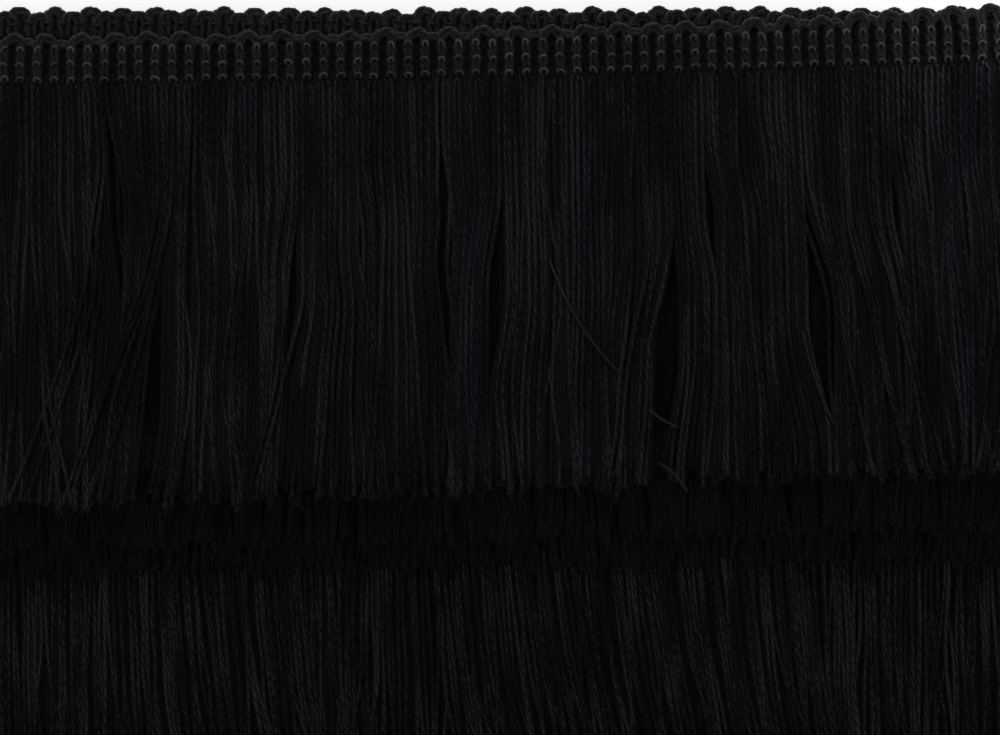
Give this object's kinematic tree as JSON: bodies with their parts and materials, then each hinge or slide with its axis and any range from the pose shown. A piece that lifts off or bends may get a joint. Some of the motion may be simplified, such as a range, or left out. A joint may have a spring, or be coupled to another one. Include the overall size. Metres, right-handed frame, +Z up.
{
  "type": "tassel fringe trim",
  "caption": "Black yarn fringe trim: a narrow crocheted heading with a looped top edge and a long cut fringe, folded back and forth and lying flat.",
  "frame": {"origin": "on the surface that the trim lies on, under the heading of its second pass, about half way along", "axes": "+Z up from the surface; -Y the way the fringe hangs from its heading; X along the trim"},
  "size_m": [0.2852, 0.1671, 0.0134],
  "materials": {
    "heading_yarn": "twisted satin yarn, crocheted",
    "fringe_yarn": "twisted satin yarn, cut ends"
  },
  "bodies": {
    "root": {"heading": "heading_yarn", "fringe": "fringe_yarn"}
  },
  "joints": []
}
